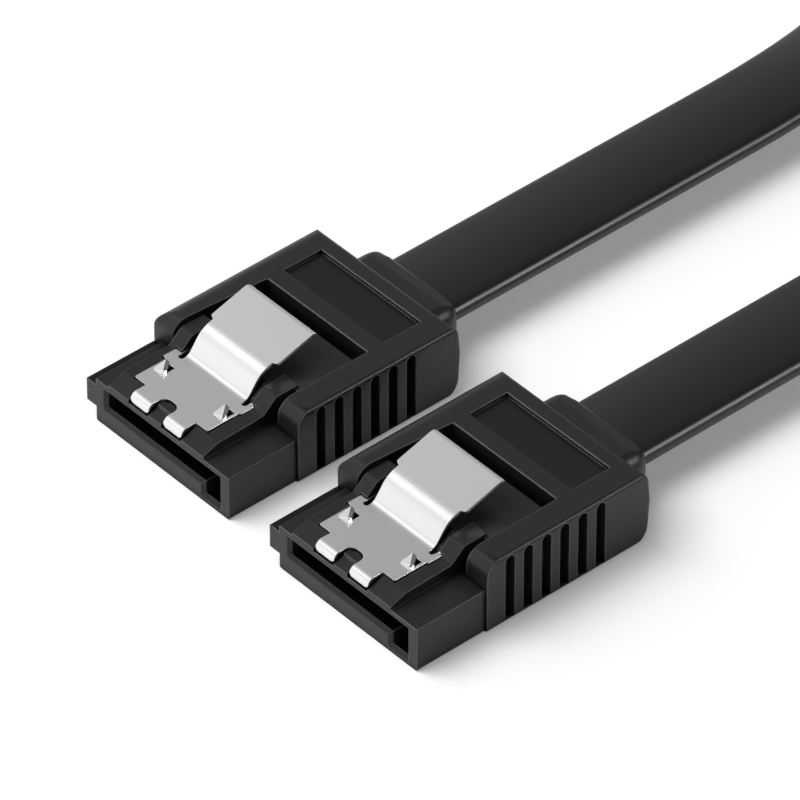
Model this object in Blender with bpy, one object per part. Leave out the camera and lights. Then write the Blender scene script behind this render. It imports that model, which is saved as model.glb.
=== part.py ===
"""A SATA data cable: one flat cord with a straight latching plug at each end.

Sizes are written in millimetres and become metres where a mesh is made.
Each plug is drawn in its own frame. X runs from the mating face toward the cord,
Y runs across the plug, and Z runs up from the surface that the cable lies on.
"""
import math

import bpy
import bmesh
from mathutils import Matrix, Vector

MM = 0.001

# Fits
MOULD_GAP = 0.05
METAL_GAP = 0.06
CORD_GAP = 0.15

# Contacts: seven springs in one row
CONTACTS = 7
CONTACT_PITCH = 1.27
CONTACT_WIDTH = 0.5
CONTACT_THICKNESS = 0.2
CONTACT_RECESS = 0.12
CONTACT_BOW = 0.5
CONTACT_TIP = 1.3
CONTACT_LENGTH = 12.8

# The slot that takes the drive's tongue, shaped like a long L. The contacts set its length.
ROW_MARGIN_RIGHT = 1.07
ROW_MARGIN_LEFT = 0.57
KEY_WIDTH = 1.42
KEY_DROP = 0.95
SLOT_HEIGHT = 1.27
SLOT_DEPTH = 6.2
LEAD_IN = 0.25

# Housing: the black insulator that plugs in, built round the slot
WALL_RIGHT = 1.0
WALL_LEFT = 0.92
WALL_BELOW = 0.5
WALL_ABOVE = 0.58
WALL_BEHIND = 0.35
HOUSING_REACH = 5.45
HOUSING_LENGTH = 11.9
EDGE_RADIUS = 0.15
RIB_WIDTH = 0.9
RIB_BOTTOM = 1.1
RIB_DROP = 0.5
SHOULDER_INSET = 0.6
NECK_INSET = 1.0
NECK_BOTTOM = 0.7
NECK_DROP = 0.05

# Latch: a stamped spring of stainless sheet, hooked over the front of the deck
SHEET = 0.2
LATCH_CENTRE = 0.7
PLATE_RISE = 0.8
PLATE_WIDTH = 6.9
PLATE_FRONT = 1.35
EAR_LEFT_REACH = 0.35
EAR_RIGHT_REACH = 0.15
EAR_FRONT = 3.95
EAR_REAR = 5.9
EAR_SLIT = 0.4
SLIT_ROOT = 0.2
FINGER_WIDTH = 1.7
FINGER_GAP = 1.4
FINGER_NOTCH = 1.55
FINGER_FRONT = 0.12
FINGER_CURL = 0.5
FINGER_TIP_RISE = 0.15
LEAF_INSET = 0.65
LEAF_ROOT = 5.1
LEAF_ROOT_RADIUS = 0.7
LEAF_BEND_X = 6.21
LEAF_BEND_RISE = 1.55
LEAF_BEND_RADIUS = 1.9
TAB_REACH = 0.35
TAB_START = 3.15
TAB_END_X = 10.4
TAB_END_RISE = 2.76
TAB_LEFT_RADIUS = 0.7
TAB_RIGHT_RADIUS = 0.2
LIP_DROP = 0.4
LIP_SETBACK = 0.12
LIP_RADIUS = 0.3
BARB_INSET = 0.62
BARB_FRONT = 2.7
BARB_LENGTH = 1.0
BARB_WIDTH = 0.86
BARB_RISE = 0.3
BARB_LIP = 0.3
WELL_RISE = 0.1
WELL_MARGIN = 0.1
WELL_FRONT_MARGIN = 0.04
TONGUE_ROOM = 0.06
EAR_HEADROOM = 0.08

# The deck on top of the housing, which carries the latch. Rises are above the housing's front block.
DECK_RIGHT_SIDE = 1.15
DECK_LEFT_SIDE = 0.95
DECK_FRONT_RISE = 0.22
DECK_RISE = 0.68
DECK_REAR_RISE = 0.77
RAMP_LENGTH = 1.3

# The two cheeks beside the leaf, and the platform behind them inside the boot
CHEEK_FRONT = 4.9
CHEEK_RUN = 1.0
CHEEK_RISE = 1.7
CHEEK_REAR = 7.7
BAY_RIGHT_ROOM = 0.08
BAY_LEFT_ROOM = 0.5
BAY_REAR = 6.6
LEDGE_WIDTH = 0.42
LEDGE_SETBACK = 0.35
PLATFORM_RIGHT_STEP = 0.3
PLATFORM_LEFT_STEP = 1.0
PLATFORM_RISE = 1.5

# Boot: the soft overmould that is gripped
BOOT_LENGTH = 12.95
BOOT_RISE = 2.0
BOOT_RIGHT_SIDE = 0.2
BOOT_TOP_LEFT_RADIUS = 1.3
BOOT_EDGE_RADIUS = 0.25
BOOT_SHOULDER_RADIUS = 1.1
BOOT_HEEL_RADIUS = 1.2
BOOT_REAR_RADIUS = 0.55
BOOT_REAR_BULGE = 0.2
WINDOW_REAR = 12.7
WINDOW_RIGHT_ROOM = 0.37
WINDOW_FRONT_ROOM = 0.35
WINDOW_REAR_ROOM = 0.75
WINDOW_FLOOR_RISE = 0.3
PANEL_FRONT = 14.0
PANEL_LENGTH = 3.05
PANEL_WIDTH = 9.35
PANEL_CENTRE = 0.12
PANEL_DEPTH = 0.26
GROOVES = 6
GROOVE_PITCH = 1.466
GROOVE_WIDTH = 0.75
GROOVE_DEPTH = 0.7
GROOVE_FRONT = 7.27
GROOVE_TOP_DROP = 0.18
GROOVE_BOTTOM = 0.15
COLLAR_LENGTH = 2.2
COLLAR_RIGHT_SIDE = 1.25
COLLAR_LEFT_SIDE = 0.4
COLLAR_DROP = 0.3
COLLAR_SLOPE = 0.6
COLLAR_BOTTOM = 0.6
COLLAR_RADIUS = 1.0
COLLAR_EDGE = 0.4

# Inner mould round the solder joints, and the cord's two shielded pairs inside it
MOULD_BOTTOM = 0.95
MOULD_LENGTH = 5.2
PAIR_WIDTH = 2.3
PAIR_HEIGHT = 0.9
PAIR_SPREAD = 2.9
PAIR_LENGTH = 3.0

# Cord: flat, one length, lying as a hank past the plugs
CORD_WIDTH = 6.7
CORD_THICKNESS = 1.55
CORD_INSET = 0.3
CORD_POINTS = 80

# Placing: the two plugs side by side, the second a little forward of the first
PLUG_SPACE = 4.2
PLUG_STAGGER = 0.48

# Hank: four strands of the cord side by side, on edge, with a strap round them
STRAND_PITCH = 2.4
EDGE_CLEARANCE = 0.05
TIE_LIFT = 1.0
TIE_X = 98.5
TIE_LENGTH = 4.5
TIE_THICKNESS = 0.4
TIE_ROOM = 0.55
TIE_RADIUS = 1.2

# Sizes that follow from those above
SLOT_LENGTH = KEY_WIDTH + ROW_MARGIN_RIGHT + (CONTACTS - 1) * CONTACT_PITCH + ROW_MARGIN_LEFT
HALF_HOUSING = (SLOT_LENGTH + WALL_RIGHT + WALL_LEFT) / 2
SLOT_RIGHT = -HALF_HOUSING + WALL_RIGHT
SLOT_LEFT = SLOT_RIGHT + SLOT_LENGTH
SLOT_FLOOR = WALL_BELOW + KEY_DROP
SLOT_CEILING = SLOT_FLOOR + SLOT_HEIGHT
HOUSING_HEIGHT = SLOT_CEILING + WALL_ABOVE
FIRST_CONTACT = SLOT_RIGHT + KEY_WIDTH + ROW_MARGIN_RIGHT
CONTACT_LEVEL = SLOT_CEILING + CONTACT_RECESS
SHOULDER_REAR = SLOT_DEPTH + WALL_BEHIND
SHOULDER_BOTTOM = WALL_BELOW / 2
NECK_HALF = HALF_HOUSING - NECK_INSET
NECK_TOP = HOUSING_HEIGHT - NECK_DROP
PLATE_TOP = HOUSING_HEIGHT + PLATE_RISE
PLATE_UNDERSIDE = PLATE_TOP - SHEET
EARS_RIGHT = LATCH_CENTRE - PLATE_WIDTH / 2 - EAR_RIGHT_REACH
EARS_LEFT = LATCH_CENTRE + PLATE_WIDTH / 2 + EAR_LEFT_REACH
LEAF_WIDTH = PLATE_WIDTH - 2 * LEAF_INSET
TAB_WIDTH = LEAF_WIDTH + 2 * TAB_REACH
BARB_SPREAD = PLATE_WIDTH / 2 - BARB_INSET
DECK_RIGHT = LATCH_CENTRE - PLATE_WIDTH / 2 - DECK_RIGHT_SIDE
DECK_LEFT = LATCH_CENTRE + PLATE_WIDTH / 2 + DECK_LEFT_SIDE
CHEEK_TOP = HOUSING_HEIGHT + CHEEK_RISE
PLATFORM_RIGHT = DECK_RIGHT - PLATFORM_RIGHT_STEP
PLATFORM_LEFT = DECK_LEFT - PLATFORM_LEFT_STEP
PLATFORM_TOP = HOUSING_HEIGHT + PLATFORM_RISE
BOOT_HEIGHT = HOUSING_HEIGHT + BOOT_RISE
BOOT_RIGHT = HALF_HOUSING + BOOT_RIGHT_SIDE
BOOT_LEFT = HALF_HOUSING + RIB_WIDTH
BOOT_FRONT = HOUSING_REACH
BOOT_REAR = BOOT_FRONT + BOOT_LENGTH
PLUG_LENGTH = BOOT_REAR + COLLAR_LENGTH
MOULD_FRONT = HOUSING_LENGTH + MOULD_GAP
MOULD_REAR = MOULD_FRONT + MOULD_LENGTH
CORD_LEVEL = BOOT_HEIGHT / 2
CORD_START = MOULD_REAR + CORD_INSET
HINGE_X = FINGER_FRONT + FINGER_CURL
HINGE_Z = PLATE_UNDERSIDE
PLUG_PITCH = BOOT_RIGHT + BOOT_LEFT + PLUG_SPACE
PLUG_FRONT_A = (PLUG_STAGGER - PLUG_LENGTH) / 2
PLUG_FRONT_B = PLUG_FRONT_A - PLUG_STAGGER
PLUG_Y_A = (PLUG_PITCH + BOOT_RIGHT - BOOT_LEFT) / 2
PLUG_Y_B = PLUG_Y_A - PLUG_PITCH
EDGE_LEVEL = CORD_WIDTH / 2 + EDGE_CLEARANCE
TIE_LEVEL = EDGE_LEVEL + TIE_LIFT


def material(name, colour, roughness, metallic=0.0):
    """A Principled material of one plain finish."""
    finish = bpy.data.materials.new(name)
    finish.use_nodes = True
    shader = finish.node_tree.nodes["Principled BSDF"]
    shader.inputs["Base Color"].default_value = (*colour, 1.0)
    shader.inputs["Roughness"].default_value = roughness
    shader.inputs["Metallic"].default_value = metallic
    finish.diffuse_color = (*colour, 1.0)
    return finish


def rounded(corners, steps=4):
    """Turn corners (u, v, radius) into outline points, each radius as an arc."""
    outline = []
    count = len(corners)
    for index, (u, v, radius) in enumerate(corners):
        here = Vector((u, v))
        if radius <= 0:
            outline.append(here)
            continue
        back = (Vector(corners[index - 1][:2]) - here).normalized()
        ahead = (Vector(corners[(index + 1) % count][:2]) - here).normalized()
        half = back.angle(ahead) / 2
        centre = here + (back + ahead).normalized() * radius / math.sin(half)
        first = here + back * radius / math.tan(half) - centre
        turn = first.angle_signed(here + ahead * radius / math.tan(half) - centre)
        for step in range(steps + 1):
            angle = -turn * step / steps
            outline.append(centre + Vector((
                first.x * math.cos(angle) - first.y * math.sin(angle),
                first.x * math.sin(angle) + first.y * math.cos(angle))))
    return outline


def box_outline(low, high, radius=0.0):
    """The four corners of a rectangle, with one radius on them all."""
    return [(low[0], low[1], radius), (high[0], low[1], radius),
            (high[0], high[1], radius), (low[0], high[1], radius)]


def prism(name, outline, axis, low, high):
    """A closed solid: an outline in millimetres, extruded along X, Y or Z."""
    place = {
        "X": lambda u, v: (low, u, v),
        "Y": lambda u, v: (u, low, v),
        "Z": lambda u, v: (u, v, low),
    }[axis]
    direction = {"X": Vector((1, 0, 0)), "Y": Vector((0, 1, 0)), "Z": Vector((0, 0, 1))}[axis]
    work = bmesh.new()
    corners = [work.verts.new(Vector(place(u, v)) * MM) for u, v in outline]
    end = work.faces.new(corners)
    grown = bmesh.ops.extrude_face_region(work, geom=[end])
    moved = [item for item in grown["geom"] if isinstance(item, bmesh.types.BMVert)]
    bmesh.ops.translate(work, verts=moved, vec=direction * (high - low) * MM)
    bmesh.ops.recalc_face_normals(work, faces=work.faces)
    return solid_from(work, name)


def box(name, x, y, z):
    """A plain block from three (low, high) ranges in millimetres."""
    return prism(name, rounded(box_outline((x[0], y[0]), (x[1], y[1]))), "Z", z[0], z[1])


def solid_from(work, name):
    """Put a bmesh into a new object in the scene."""
    mesh = bpy.data.meshes.new(name)
    work.to_mesh(mesh)
    work.free()
    item = bpy.data.objects.new(name, mesh)
    bpy.context.scene.collection.objects.link(item)
    return item


def combine(target, tools, operation):
    """Join, cut or intersect the target with each tool, then drop the tools."""
    for tool in tools:
        step = target.modifiers.new(tool.name, "BOOLEAN")
        step.operation = operation
        step.solver = "EXACT"
        step.object = tool
    bpy.context.view_layer.update()
    shaped = target.evaluated_get(bpy.context.evaluated_depsgraph_get())
    mesh = bpy.data.meshes.new_from_object(shaped)
    target.modifiers.clear()
    target.data = mesh
    for tool in tools:
        bpy.data.objects.remove(tool)
    return target


def join(target, *tools):
    return combine(target, tools, "UNION")


def cut(target, *tools):
    return combine(target, tools, "DIFFERENCE")


def common(target, *tools):
    return combine(target, tools, "INTERSECT")


def contact_places():
    """The Y of each contact, counted from the key's side."""
    return [FIRST_CONTACT + index * CONTACT_PITCH for index in range(CONTACTS)]


def pair_places():
    """The Y of the cord's two shielded pairs."""
    return [-PAIR_SPREAD / 2, PAIR_SPREAD / 2]


def front_block():
    """The housing's front with its key rib on the left side."""
    right = -HALF_HOUSING
    left = HALF_HOUSING
    rib_top = HOUSING_HEIGHT - RIB_DROP
    outline = rounded([
        (right, 0, EDGE_RADIUS), (left, 0, EDGE_RADIUS), (left, RIB_BOTTOM, 0),
        (left + RIB_WIDTH, RIB_BOTTOM, 0), (left + RIB_WIDTH, rib_top, 0), (left, rib_top, 0),
        (left, HOUSING_HEIGHT, 0), (right, HOUSING_HEIGHT, 0)])
    return prism("housing", outline, "X", 0, HOUSING_REACH - MOULD_GAP)


def deck_block():
    """The ramp, the deck and the cheeks as one side view, pulled across the housing."""
    sunk = HOUSING_HEIGHT - 0.5
    swell = CHEEK_RUN / 2
    outline = rounded([
        (0, sunk, 0), (0, HOUSING_HEIGHT + DECK_FRONT_RISE, 0), (RAMP_LENGTH, HOUSING_HEIGHT + DECK_RISE, 0),
        (CHEEK_FRONT, HOUSING_HEIGHT + DECK_REAR_RISE, swell), (CHEEK_FRONT + CHEEK_RUN, CHEEK_TOP, swell),
        (CHEEK_REAR, CHEEK_TOP, 0), (CHEEK_REAR, sunk, 0)], 7)
    return prism("deck", outline, "Y", DECK_RIGHT, DECK_LEFT)


def slot_cutter():
    """The L slot with a sloped lead-in round its mouth."""
    def l_outline(grow):
        return [
            (SLOT_RIGHT - grow, WALL_BELOW - grow),
            (SLOT_RIGHT + KEY_WIDTH + grow, WALL_BELOW - grow),
            (SLOT_RIGHT + KEY_WIDTH + grow, SLOT_FLOOR - grow),
            (SLOT_LEFT + grow, SLOT_FLOOR - grow),
            (SLOT_LEFT + grow, SLOT_CEILING + grow),
            (SLOT_RIGHT - grow, SLOT_CEILING + grow)]

    stations = [(-LEAD_IN, 2 * LEAD_IN), (LEAD_IN, 0.0), (SLOT_DEPTH, 0.0)]
    work = bmesh.new()
    rings = []
    for x, grow in stations:
        rings.append([work.verts.new(Vector((x, y, z)) * MM) for y, z in l_outline(grow)])
    for near, far in zip(rings, rings[1:]):
        for index in range(len(near)):
            after = (index + 1) % len(near)
            work.faces.new((near[index], near[after], far[after], far[index]))
    work.faces.new(rings[0])
    work.faces.new(rings[-1])
    bmesh.ops.recalc_face_normals(work, faces=work.faces)
    return solid_from(work, "slot")


def channel_cutters(start, end):
    """A row of channels that the contacts lie in."""
    half = CONTACT_WIDTH / 2 + METAL_GAP
    low = CONTACT_LEVEL - CONTACT_THICKNESS / 2 - METAL_GAP
    high = CONTACT_LEVEL + CONTACT_THICKNESS / 2 + METAL_GAP
    return [box("channel", (start, end), (y - half, y + half), (low, high)) for y in contact_places()]


def make_housing():
    """The insulator: front block, deck, cheeks, and the shoulder and neck that hold the boot."""
    housing = front_block()
    shoulder_half = HALF_HOUSING - SHOULDER_INSET
    shoulder = prism("shoulder", rounded(box_outline(
        (-shoulder_half, SHOULDER_BOTTOM), (shoulder_half, NECK_TOP), 0.15), 3),
        "X", HOUSING_REACH - 1.0, SHOULDER_REAR)
    neck = prism("neck", rounded(box_outline((-NECK_HALF, NECK_BOTTOM), (NECK_HALF, NECK_TOP), 0.3), 3),
                 "X", SHOULDER_REAR - 0.5, HOUSING_LENGTH)
    platform = box("platform", (CHEEK_REAR - 0.3, HOUSING_LENGTH),
                   (PLATFORM_RIGHT, PLATFORM_LEFT), (NECK_TOP - 0.5, PLATFORM_TOP))
    join(housing, deck_block(), shoulder, neck, platform)

    half_leaf = LEAF_WIDTH / 2
    half_plate = PLATE_WIDTH / 2 + WELL_MARGIN
    well_front = PLATE_FRONT - WELL_FRONT_MARGIN
    well_floor = HOUSING_HEIGHT + WELL_RISE
    ear_roof = PLATE_TOP + EAR_HEADROOM
    bay_right = LATCH_CENTRE - half_leaf - BAY_RIGHT_ROOM
    bay_left = LATCH_CENTRE + half_leaf + BAY_LEFT_ROOM
    leaf_bay = box("leaf_bay", (well_front, BAY_REAR), (bay_right, bay_left), (well_floor, CHEEK_TOP + 1))
    above_bay = box("above_bay", (BAY_REAR - 0.2, CHEEK_REAR + 0.2), (bay_right - 0.1, bay_left),
                    (PLATFORM_TOP, CHEEK_TOP + 1))
    ledge_front = CHEEK_FRONT + LEDGE_SETBACK
    ledge_rear = ledge_front + CHEEK_RUN
    above_ledge = prism("above_ledge", [
        (CHEEK_FRONT - 0.5, PLATE_TOP), (ledge_front, PLATE_TOP), (ledge_rear, PLATFORM_TOP),
        (CHEEK_REAR + 0.2, PLATFORM_TOP), (CHEEK_REAR + 0.2, CHEEK_TOP + 1), (CHEEK_FRONT - 0.5, CHEEK_TOP + 1)],
        "Y", bay_right - LEDGE_WIDTH, bay_right + 0.1)
    plate_well = box("plate_well", (well_front, EAR_REAR + WELL_MARGIN),
                     (LATCH_CENTRE - half_plate, LATCH_CENTRE + half_plate), (well_floor, ear_roof))
    ear_well = box("ear_well", (EAR_FRONT - WELL_MARGIN, EAR_REAR + WELL_MARGIN),
                   (EARS_RIGHT - WELL_MARGIN, EARS_LEFT + WELL_MARGIN), (well_floor, ear_roof))
    cut(housing, slot_cutter())
    cut(housing, leaf_bay, above_bay, above_ledge, plate_well, ear_well)
    tongue_half = FINGER_GAP / 2 - TONGUE_ROOM
    tongue = prism("tongue", rounded([
        (well_front - 0.5, LATCH_CENTRE - tongue_half, 0),
        (FINGER_NOTCH - TONGUE_ROOM, LATCH_CENTRE - tongue_half, tongue_half * 0.9),
        (FINGER_NOTCH - TONGUE_ROOM, LATCH_CENTRE + tongue_half, tongue_half * 0.9),
        (well_front - 0.5, LATCH_CENTRE + tongue_half, 0)], 6),
        "Z", HOUSING_HEIGHT - 0.1, HOUSING_HEIGHT + DECK_RISE - 0.03)
    slit_front = LEAF_ROOT - 0.35
    slit_floor = prism("slit_floor", [
        (slit_front, well_floor - 0.1), (slit_front, PLATE_UNDERSIDE - 0.05), (LEAF_ROOT, PLATE_UNDERSIDE),
        (ledge_front, PLATE_TOP - 0.05), (ledge_rear, PLATFORM_TOP - 0.05), (BAY_REAR + 0.1, PLATFORM_TOP - 0.05),
        (BAY_REAR + 0.1, well_floor - 0.1)],
        "Y", bay_right - EAR_SLIT + BAY_RIGHT_ROOM + METAL_GAP, bay_right)
    join(housing, tongue, slit_floor)

    notches = []
    for side in (-1, 1):
        middle = LATCH_CENTRE + side * (FINGER_GAP + FINGER_WIDTH) / 2
        half = FINGER_WIDTH / 2 + WELL_MARGIN
        notches.append(box("finger_notch", (-0.5, PLATE_FRONT), (middle - half, middle + half),
                           (HOUSING_HEIGHT, PLATE_TOP + 0.5)))
    cut(housing, *notches)
    cut(housing, *channel_cutters(CONTACT_TIP - 0.3, HOUSING_LENGTH + 0.5))
    return housing


def make_contact():
    """One contact: a strip that bows down into the slot and runs back to its solder tail."""
    level = CONTACT_LEVEL
    line = [
        Vector((CONTACT_TIP, level)), Vector((CONTACT_TIP + 0.6, level - CONTACT_BOW * 0.45)),
        Vector((CONTACT_TIP + 1.5, level - CONTACT_BOW)), Vector((CONTACT_TIP + 2.4, level - CONTACT_BOW * 0.75)),
        Vector((CONTACT_TIP + 4.6, level)), Vector((CONTACT_TIP + CONTACT_LENGTH, level))]
    lift = Vector((0, CONTACT_THICKNESS / 2))
    outline = [point - lift for point in line] + [point + lift for point in reversed(line)]
    half = CONTACT_WIDTH / 2
    return prism("contact", outline, "Y", -half, half)


def sheet_path():
    """Side view of the latch's upper face: finger, plate, leaf, tab and lip."""
    tip = HOUSING_HEIGHT + FINGER_TIP_RISE
    tab_end = PLATE_TOP + TAB_END_RISE
    corners = [
        (FINGER_FRONT, tip, 0), (FINGER_FRONT, PLATE_TOP, FINGER_CURL),
        (LEAF_ROOT, PLATE_TOP, LEAF_ROOT_RADIUS),
        (LEAF_BEND_X, PLATE_TOP + LEAF_BEND_RISE, LEAF_BEND_RADIUS),
        (TAB_END_X, tab_end, LIP_RADIUS), (TAB_END_X + LIP_SETBACK, tab_end - LIP_DROP, 0)]
    return rounded(corners, 7)


def sheet_lengths(path):
    """Length along the sheet at each station, equal to X on the flat plate, and where the leaf starts."""
    lengths = [0.0]
    for near, far in zip(path, path[1:]):
        lengths.append(lengths[-1] + (far - near).length)
    flat = [index for index, point in enumerate(path) if abs(point.y - PLATE_TOP) < 1e-5]
    shift = path[flat[0]].x - lengths[flat[0]]
    lengths = [length + shift for length in lengths]
    return lengths, lengths[flat[-1]]


def sheet_outline(tip, fold, end):
    """The latch cut flat, as (length, y): both sides alike but for the tab's two rear corners."""
    inner = FINGER_GAP / 2
    outer = inner + FINGER_WIDTH
    plate = PLATE_WIDTH / 2
    leaf = LEAF_WIDTH / 2
    tab = TAB_WIDTH / 2
    step = fold + TAB_START
    root = fold - SLIT_ROOT
    slit = leaf + EAR_SLIT
    round_end = EAR_SLIT * 0.48

    def edge(ear):
        return [
            (tip, inner, 0.3), (tip, outer, 0.3), (PLATE_FRONT, outer - 0.02, 0.12), (PLATE_FRONT, plate, 0.12),
            (EAR_FRONT - 0.1, plate, 0), (EAR_FRONT, ear, 0), (EAR_REAR, ear, 0.1), (EAR_REAR, slit, 0.12),
            (root, slit, round_end), (root, leaf, round_end), (step, leaf, 0.15), (step + 0.1, tab, 0.2)]

    right = [(length, -y, radius) for length, y, radius in reversed(edge(plate + EAR_RIGHT_REACH))]
    return rounded([(FINGER_NOTCH, 0, 0), (FINGER_NOTCH, inner + 0.05, 0.6), *edge(plate + EAR_LEFT_REACH),
                    (end, tab, TAB_LEFT_RADIUS), (end, -tab, TAB_RIGHT_RADIUS), *right,
                    (FINGER_NOTCH, -inner - 0.05, 0.6)], 5)


def bend_sheet(work, path, lengths, fold):
    """Fold the flat sheet along its side view: length becomes X and Z. The ears' ends stay flat."""
    for vert in work.verts:
        length = vert.co.x
        if fold < length < EAR_REAR + MM and abs(vert.co.y) > (LEAF_WIDTH + EAR_SLIT) / 2:
            vert.co = Vector((length, vert.co.y, PLATE_TOP))
            continue
        for index in range(len(lengths) - 1):
            if length <= lengths[index + 1] + 1e-6 or index == len(lengths) - 2:
                share = (length - lengths[index]) / (lengths[index + 1] - lengths[index])
                point = path[index].lerp(path[index + 1], share)
                vert.co = Vector((point.x, vert.co.y, point.y))
                break


def make_latch():
    """The spring latch, bent from one sheet, with its origin on the hinge line."""
    path = sheet_path()
    lengths, fold = sheet_lengths(path)
    work = bmesh.new()
    flat = [work.verts.new((length, y, 0)) for length, y in sheet_outline(lengths[0], fold, lengths[-1])]
    work.faces.new(flat)
    for length in lengths[1:-1]:
        bmesh.ops.bisect_plane(work, geom=work.verts[:] + work.edges[:] + work.faces[:], dist=1e-5,
                               plane_co=(length, 0, 0), plane_no=(1, 0, 0))
    bend_sheet(work, path, lengths, fold)
    bmesh.ops.scale(work, vec=(MM, MM, MM), verts=work.verts)
    bmesh.ops.recalc_face_normals(work, faces=work.faces)
    if sum(face.normal.z * face.calc_area() for face in work.faces) < 0:
        bmesh.ops.reverse_faces(work, faces=work.faces)
    latch = solid_from(work, "latch")
    wall = latch.modifiers.new("sheet", "SOLIDIFY")
    wall.thickness = SHEET * MM
    wall.offset = -1
    wall.use_even_offset = True
    combine(latch, (), "UNION")
    for side in (-1, 1):
        cut(latch, barb_hole(side * BARB_SPREAD))
        join(latch, barb(side * BARB_SPREAD))
    latch.data.transform(Matrix.Translation(Vector((-HINGE_X, 0, -HINGE_Z)) * MM))
    return latch


def barb(y):
    """A small lance: one corner of the sheet is pressed up to a slanting ridge, beside its hole."""
    rear = BARB_FRONT + BARB_LENGTH
    left = y + BARB_WIDTH / 2
    right = y - BARB_WIDTH / 2
    sunk = PLATE_TOP - SHEET * 0.4
    base = PLATE_TOP - SHEET * 0.6
    ridge = PLATE_TOP + BARB_RISE
    lip = PLATE_TOP + BARB_RISE * 0.6
    over = 0.04
    corners = [(BARB_FRONT - 0.1, left + 0.1), (rear + 0.02, left + 0.08), (BARB_FRONT - 0.08, right - 0.02),
               (rear, left - BARB_LIP - over), (BARB_FRONT + BARB_LIP + over, right)]
    points = [(x, y, base) for x, y in corners]
    points += [(x, y, sunk) for x, y in corners[:3]]
    points += [(x, y, lip) for x, y in corners[3:]]
    points += [(rear - 0.05, left - 0.08, ridge), (BARB_FRONT + 0.08, right + 0.05, ridge)]
    work = bmesh.new()
    for point in points:
        work.verts.new(Vector(point) * MM)
    hull = bmesh.ops.convex_hull(work, input=work.verts)
    inside = [item for item in hull["geom_interior"] if isinstance(item, bmesh.types.BMVert)]
    bmesh.ops.delete(work, geom=inside, context="VERTS")
    bmesh.ops.recalc_face_normals(work, faces=work.faces)
    return solid_from(work, "barb")


def barb_hole(y):
    """The three-cornered hole that a lance leaves at its rear right."""
    rear = BARB_FRONT + BARB_LENGTH
    left = y + BARB_WIDTH / 2
    right = y - BARB_WIDTH / 2
    outline = [(BARB_FRONT + BARB_LIP, right), (rear, right), (rear, left - BARB_LIP)]
    return prism("barb_hole", outline, "Z", PLATE_TOP - 0.5, PLATE_TOP + 0.5)


def boot_body():
    """The boot's outside: its end view and its side view, pulled through each other, with the collar."""
    across = rounded([
        (-BOOT_RIGHT, 0, BOOT_EDGE_RADIUS), (BOOT_LEFT, 0, BOOT_EDGE_RADIUS),
        (BOOT_LEFT, BOOT_HEIGHT, BOOT_TOP_LEFT_RADIUS), (-BOOT_RIGHT, BOOT_HEIGHT, BOOT_EDGE_RADIUS)], 7)
    along = rounded([
        (BOOT_FRONT, 0, 0), (BOOT_REAR, 0, BOOT_HEEL_RADIUS),
        (BOOT_REAR + BOOT_REAR_BULGE, BOOT_HEIGHT * 0.6, 2.0),
        (BOOT_REAR, BOOT_HEIGHT, BOOT_REAR_RADIUS), (BOOT_FRONT, BOOT_HEIGHT, BOOT_SHOULDER_RADIUS)], 7)
    boot = prism("boot", across, "X", BOOT_FRONT - 1, BOOT_REAR + 1)
    side = prism("side_view", along, "Y", -BOOT_RIGHT - 1, BOOT_LEFT + 1)
    common(boot, side)
    right = -CORD_WIDTH / 2 - COLLAR_RIGHT_SIDE
    left = CORD_WIDTH / 2 + COLLAR_LEFT_SIDE
    top = BOOT_HEIGHT - COLLAR_DROP
    start = BOOT_REAR - 1.0
    slope = COLLAR_SLOPE / COLLAR_LENGTH
    collar = prism("collar", rounded([
        (start, COLLAR_BOTTOM, 0), (PLUG_LENGTH, COLLAR_BOTTOM, COLLAR_EDGE),
        (PLUG_LENGTH, top - COLLAR_SLOPE, COLLAR_EDGE), (BOOT_REAR, top, 0),
        (start, top + slope, 0)], 5), "Y", right - 1, left + 1)
    collar_end = prism("collar_end", rounded(box_outline(
        (right, COLLAR_BOTTOM), (left, top - COLLAR_SLOPE / 2), COLLAR_RADIUS), 7), "X", start - 1, PLUG_LENGTH + 1)
    common(collar, collar_end)
    join(boot, collar)
    return boot


def grip_grooves():
    """Upright grooves with round tops on both sides of the boot."""
    half = GROOVE_WIDTH / 2
    right_top = BOOT_HEIGHT - GROOVE_TOP_DROP
    left_top = BOOT_HEIGHT - BOOT_TOP_LEFT_RADIUS - GROOVE_TOP_DROP
    cutters = []
    for index in range(GROOVES):
        x = GROOVE_FRONT + index * GROOVE_PITCH
        for top, low, high in ((right_top, -BOOT_RIGHT - 1, -BOOT_RIGHT + GROOVE_DEPTH),
                               (left_top, BOOT_LEFT - GROOVE_DEPTH, BOOT_LEFT + 1)):
            outline = rounded([(x - half, GROOVE_BOTTOM, 0), (x + half, GROOVE_BOTTOM, 0),
                               (x + half, top, half * 0.99), (x - half, top, half * 0.99)], 5)
            cutters.append(prism("groove", outline, "Y", low, high))
    return cutters


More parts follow.
